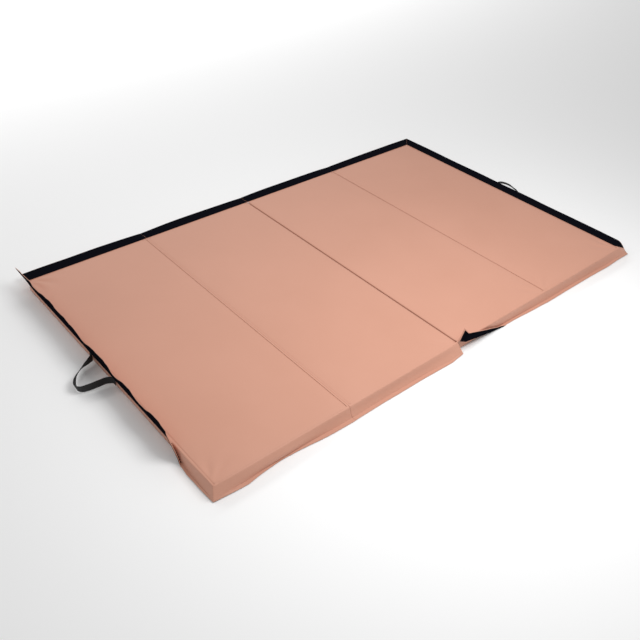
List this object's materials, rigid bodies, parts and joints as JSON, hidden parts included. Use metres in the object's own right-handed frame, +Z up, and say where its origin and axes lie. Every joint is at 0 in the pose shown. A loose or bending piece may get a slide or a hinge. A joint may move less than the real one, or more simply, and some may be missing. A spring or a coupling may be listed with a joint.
{
  "type": "folding exercise mat",
  "caption": "Folding exercise mat: foam panels in a sewn vinyl cover, hook-and-loop flaps along every edge and a webbing loop handle at each end.",
  "frame": {"origin": "on the floor, under the middle of the opened mat with its flaps and handles", "axes": "+X along the mat from its left end to its right end, +Y from its front edge to its back edge, +Z up through its thickness"},
  "size_m": [2.0258, 1.2082, 0.0826],
  "materials": {
    "cover_vinyl": "satin",
    "foam": "matte",
    "hook_and_loop": "matte",
    "webbing": "matte"
  },
  "bodies": {
    "panel_1": {"foam_core_1": "foam", "base_tray_1": "cover_vinyl", "top_sheet_1": "cover_vinyl", "left_handle_end_front": "webbing", "left_handle_end_rear": "webbing"},
    "panel_2": {"foam_core_2": "foam", "base_tray_2": "cover_vinyl", "top_sheet_2": "cover_vinyl", "fold_strip_1": "cover_vinyl", "fold_strip_2": "cover_vinyl"},
    "panel_3": {"foam_core_3": "foam", "base_tray_3": "cover_vinyl", "top_sheet_3": "cover_vinyl", "fold_strip_3": "cover_vinyl"},
    "panel_4": {"foam_core_4": "foam", "base_tray_4": "cover_vinyl", "top_sheet_4": "cover_vinyl", "right_handle_end_front": "webbing", "right_handle_end_rear": "webbing"},
    "back_flap_1": {"back_flap_1": "cover_vinyl", "back_tape_1": "hook_and_loop"},
    "front_flap_1": {"front_flap_1": "cover_vinyl", "front_tape_1": "hook_and_loop"},
    "back_flap_2": {"back_flap_2": "cover_vinyl", "back_tape_2": "hook_and_loop"},
    "front_flap_2": {"front_flap_2": "cover_vinyl", "front_tape_2": "hook_and_loop"},
    "back_flap_3": {"back_flap_3": "cover_vinyl", "back_tape_3": "hook_and_loop"},
    "front_flap_3": {"front_flap_3": "cover_vinyl", "front_tape_3": "hook_and_loop"},
    "back_flap_4": {"back_flap_4": "cover_vinyl", "back_tape_4": "hook_and_loop"},
    "front_flap_4": {"front_flap_4": "cover_vinyl", "front_tape_4": "hook_and_loop"},
    "left_end_flap": {"left_end_flap": "cover_vinyl", "left_end_tape": "hook_and_loop"},
    "right_end_flap": {"right_end_flap": "cover_vinyl", "right_end_tape": "hook_and_loop"},
    "left_handle": {"left_handle_strap": "webbing"},
    "right_handle": {"right_handle_strap": "webbing"}
  },
  "joints": [
    {"name": "fold_1", "type": "hinge", "parent": "panel_2", "child": "panel_1", "pos_m": [-0.4572, -0.00623, 0.0384], "axis": [0, 1, 0], "range_deg": [0, 180]},
    {"name": "fold_2", "type": "hinge", "parent": "panel_2", "child": "panel_3", "pos_m": [0, -0.00623, -0.0003], "axis": [0, 1, 0], "range_deg": [0, 180]},
    {"name": "fold_3", "type": "hinge", "parent": "panel_3", "child": "panel_4", "pos_m": [0.4572, -0.00623, 0.0384], "axis": [0, -1, 0], "range_deg": [0, 180]},
    {"name": "back_flap_1_turn", "type": "hinge", "parent": "panel_1", "child": "back_flap_1", "pos_m": [-0.6858, 0.55507, 0.0349], "axis": [-1, 0, 0], "range_deg": [-85, 40]},
    {"name": "front_flap_1_turn", "type": "hinge", "parent": "panel_1", "child": "front_flap_1", "pos_m": [-0.6858, -0.56753, 0.0368], "axis": [1, 0, 0], "range_deg": [-133, 0]},
    {"name": "back_flap_2_turn", "type": "hinge", "parent": "panel_2", "child": "back_flap_2", "pos_m": [-0.2286, 0.55507, 0.0349], "axis": [-1, 0, 0], "range_deg": [-85, 40]},
    {"name": "front_flap_2_turn", "type": "hinge", "parent": "panel_2", "child": "front_flap_2", "pos_m": [-0.2286, -0.56753, 0.0368], "axis": [1, 0, 0], "range_deg": [-133, 0]},
    {"name": "back_flap_3_turn", "type": "hinge", "parent": "panel_3", "child": "back_flap_3", "pos_m": [0.2286, 0.55507, 0.0349], "axis": [-1, 0, 0], "range_deg": [-85, 40]},
    {"name": "front_flap_3_turn", "type": "hinge", "parent": "panel_3", "child": "front_flap_3", "pos_m": [0.2286, -0.56753, 0.0368], "axis": [1, 0, 0], "range_deg": [-110, 0]},
    {"name": "back_flap_4_turn", "type": "hinge", "parent": "panel_4", "child": "back_flap_4", "pos_m": [0.6858, 0.55507, 0.0349], "axis": [-1, 0, 0], "range_deg": [-85, 40]},
    {"name": "front_flap_4_turn", "type": "hinge", "parent": "panel_4", "child": "front_flap_4", "pos_m": [0.6858, -0.56753, 0.0368], "axis": [1, 0, 0], "range_deg": [-133, 0]},
    {"name": "left_end_flap_turn", "type": "hinge", "parent": "panel_1", "child": "left_end_flap", "pos_m": [-0.9142, -0.00623, 0.0368], "axis": [0, -1, 0], "range_deg": [0, 68]},
    {"name": "right_end_flap_turn", "type": "hinge", "parent": "panel_4", "child": "right_end_flap", "pos_m": [0.9142, -0.00623, 0.0349], "axis": [0, 1, 0], "range_deg": [-60, 0]},
    {"name": "left_handle_turn", "type": "hinge", "parent": "panel_1", "child": "left_handle", "pos_m": [-0.9279, 0.00877, 0.0185], "axis": [0, -1, 0], "range_deg": [-50, 0]},
    {"name": "right_handle_turn", "type": "hinge", "parent": "panel_4", "child": "right_handle", "pos_m": [0.9279, 0.00877, 0.0185], "axis": [0, 1, 0], "range_deg": [-60, 0]}
  ],
  "couplings": [
    {"joint": "left_end_flap_turn", "follows": "fold_1", "ratio": 0.37778},
    {"joint": "right_end_flap_turn", "follows": "right_handle_turn", "ratio": 1}
  ]
}
